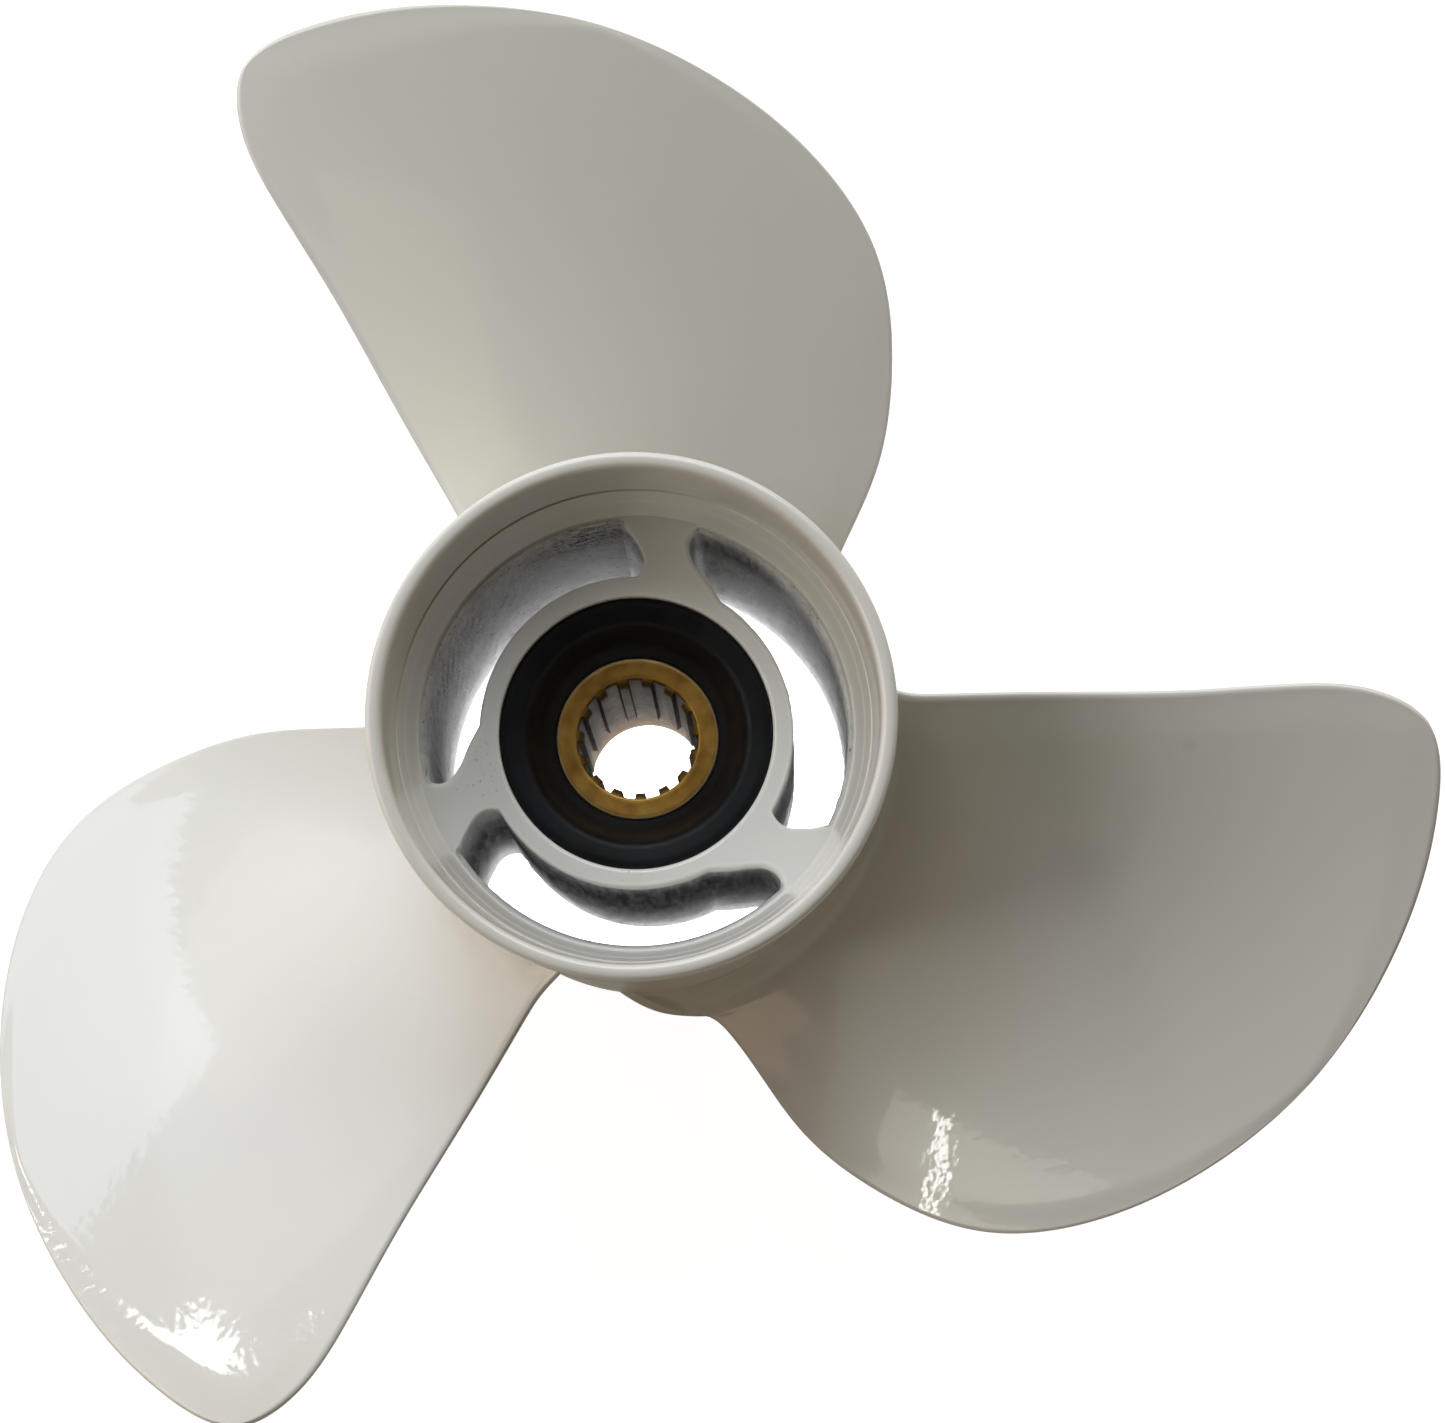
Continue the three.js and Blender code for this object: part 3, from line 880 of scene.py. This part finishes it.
def sleeve_rows(splined):
    """Rows of (radius, z) round the section: outer wall, aft face, mouth, splines, plain bore."""
    aft, front, outer = SLEEVE_AFT, SLEEVE_FRONT, SLEEVE_RADIUS
    rows = [(outer - 0.8, front), (outer - 0.25, front + 0.15), (outer, front + 0.8)]
    rows += [(outer, z) for z in np.linspace(front + 2, aft - 2, 8)]
    rows += [(outer, aft - 0.7), (outer - 0.2, aft - 0.2), (outer - 0.7, aft)]
    rows += [(outer * (1 - t) + GROOVE_BORE * t, aft - 0.03) for t in (0.25, 0.5, 0.75)]
    rows += [(FACE_BORE, aft), (MOUTH_BORE - 0.05, aft - 0.12)]
    for depth in (0.3, 0.6, 0.9, 1.2):
        cut = (splined - MOUTH_BORE) * smooth_step(depth / 1.5)
        rows.append((MOUTH_BORE + cut, aft - 0.12 - depth))
    rows += [(splined, z) for z in np.linspace(aft - 1.7, SPLINE_FRONT + 2, 14)]
    rows += [(GROOVE_BORE + (splined - GROOVE_BORE) * 0.6, SPLINE_FRONT + 0.9)]
    rows += [(GROOVE_BORE, SPLINE_FRONT), (FRONT_BORE, SPLINE_FRONT - 0.6)]
    rows += [(FRONT_BORE, z) for z in np.linspace(SPLINE_FRONT - 2, front + 1.2, 5)]
    rows += [(FRONT_BORE + 0.3, front + 0.3), (FRONT_BORE + 1.0, front)]
    return rows


def make_sleeve():
    angles = tooth_angles()
    count = len(angles)
    rows = sleeve_rows(GROOVE_BORE - (GROOVE_BORE - TIP_BORE) * tooth_share(angles))
    points = np.concatenate([
        np.column_stack([polar(np.broadcast_to(radius, count), angles), np.full(count, z)])
        for radius, z in rows
    ])
    return new_object("splined_sleeve_skin", points, ring_faces(len(rows), count), brass, sharp_angle=38)


# ---------- the propeller ----------

blades = make_blades()
barrel = turned("barrel", BARREL_SECTION, enamel)
boss = make_boss()
bush = turned("rubber_bush_skin", BUSH_SECTION, rubber, corner_steps=8)
sleeve = make_sleeve()

for piece in [*blades, barrel, boss]:
    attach(piece, "casting")
for i, blade in enumerate(blades):
    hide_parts(f"blade_{i + 1}")
for piece in (barrel, boss):
    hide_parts("hub_casting")
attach(bush, "bush")
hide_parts("rubber_bush")
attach(sleeve, "sleeve")
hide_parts("splined_sleeve")


# ---------- floor, light and camera, in metres ----------

FLOOR_HEIGHT = cad_bounds[0][2]
TABLE_SIZE = 12
COVER_SIZE = 30
HUB_DISC_RADIUS = 0.044
HUB_DISC_HEIGHT = 0.0002
HUB_DISC_GLOW = 3.3       # lights the ports and the bore from below
TABLE_TONE = 0.9
COVER_TONE = 0.35
COVER_GLOW = 0.95

LIGHT_TARGET = Vector((0, 0, 0.05))
WORLD_TONE = (1.0, 0.985, 0.96)
WORLD_STRENGTH = 0.01
CAMERA_PLACE = (0.0352, -0.1311, 1.1379)
CAMERA_TILT = (7.418, 0.938)
SENSOR_WIDTH = 36         # millimetres, as is the lens
LENS = 124.5675


def make_floor():
    """A pale table in two sheets: one returns the light of the lamps, and the other, which only
    the camera sees, keeps the background white without lighting the propeller from below. The
    floor seen through the hub is a disc of its own."""
    pale_table = floor_material("table", TABLE_TONE, 0.0)
    table = floor_sheet("floor", TABLE_SIZE, FLOOR_HEIGHT - MM, pale_table)
    table.visible_camera = False
    white_cover = floor_material("white_cover", COVER_TONE, COVER_GLOW)
    cover = floor_sheet("floor_cover", COVER_SIZE, FLOOR_HEIGHT, white_cover)
    cover.visible_diffuse = False
    cover.visible_glossy = False
    cover.visible_shadow = False
    bpy.ops.mesh.primitive_circle_add(
        vertices=96, radius=HUB_DISC_RADIUS, fill_type="NGON", location=(0, 0, HUB_DISC_HEIGHT)
    )
    keep_floor("floor_in_hub", floor_material("lit_floor", COVER_TONE, HUB_DISC_GLOW))


def floor_sheet(name, size, height, material):
    bpy.ops.mesh.primitive_plane_add(size=size, location=(0, 0, height))
    return keep_floor(name, material)


def keep_floor(name, material):
    sheet = bpy.context.object
    sheet.name = name
    sheet.data.materials.append(material)
    return sheet


def make_light(name, place, size, power, roll=0.0):
    """An area light that looks at the hub. Its power is in watts of red, green and blue."""
    data = bpy.data.lights.new(name, "AREA")
    data.shape = "RECTANGLE"
    data.size, data.size_y = size
    data.energy = max(power)
    data.color = [part / max(power) for part in power]
    light = bpy.data.objects.new(name, data)
    light.location = place
    way = Vector(place) - LIGHT_TARGET
    light.rotation_euler = way.to_track_quat("Z", "Y").to_euler()
    light.rotation_euler.rotate_axis("Z", math.radians(roll))
    bpy.context.scene.collection.objects.link(light)


def make_lights():
    """A window and its sky, the walls of a room that they light, and two small lamps whose
    reflections show on the blades."""
    make_light("window", (-0.786, 1.447, 0.353), (1.4, 1.4), (6.2, 6.7, 7.1), roll=-65.5)
    make_light("sky", (0.0, 1.25, 1.25), (1.4, 0.9), (11.6, 12.9, 14.3))
    make_light("far_wall", (0.0, 1.5, 0.55), (1.6, 0.8), (1.9, 1.4, 0.8))
    make_light("left_wall", (-1.55, 0.1, 0.45), (1.2, 0.7), (3.4, 2.4, 1.8))
    make_light("left_panel", (-1.3, 0.1, 1.1), (1.2, 0.8), (6.8, 6.6, 5.8))
    make_light("near_left", (-1.0, -1.1, 0.75), (1.0, 0.8), (0.77, 0.52, 0.29))
    make_light("near_wall", (0.0, -1.5, 0.7), (1.4, 0.8), (0.97, 0.95, 0.55))
    make_light("near_right", (1.1, -1.1, 0.7), (1.0, 0.8), (0.41, 0.18, 0.09))
    make_light("right_wall", (1.05, 1.15, 0.7), (1.6, 1.2), (5.4, 4.6, 2.6))
    make_light("lamp_left", (-1.09, -0.32, 0.954), (0.026, 0.24), (0.5, 0.5, 0.48), roll=48)
    make_light("lamp_back", (-0.78, 0.82, 1.027), (0.10, 0.10), (0.55, 0.55, 0.54))


def make_world():
    world = bpy.data.worlds.new("studio")
    world.use_nodes = True
    background = world.node_tree.nodes["Background"]
    background.inputs["Color"].default_value = (*WORLD_TONE, 1)
    background.inputs["Strength"].default_value = WORLD_STRENGTH
    bpy.context.scene.world = world


def make_camera():
    data = bpy.data.cameras.new("camera")
    data.sensor_width = SENSOR_WIDTH
    data.lens = LENS
    data.clip_end = 50
    camera = bpy.data.objects.new("camera", data)
    camera.location = CAMERA_PLACE
    camera.rotation_euler = (*(math.radians(angle) for angle in CAMERA_TILT), 0)
    bpy.context.scene.collection.objects.link(camera)
    bpy.context.scene.camera = camera


make_floor()
make_world()
make_lights()
make_camera()
bpy.context.scene.view_settings.view_transform = "Standard"
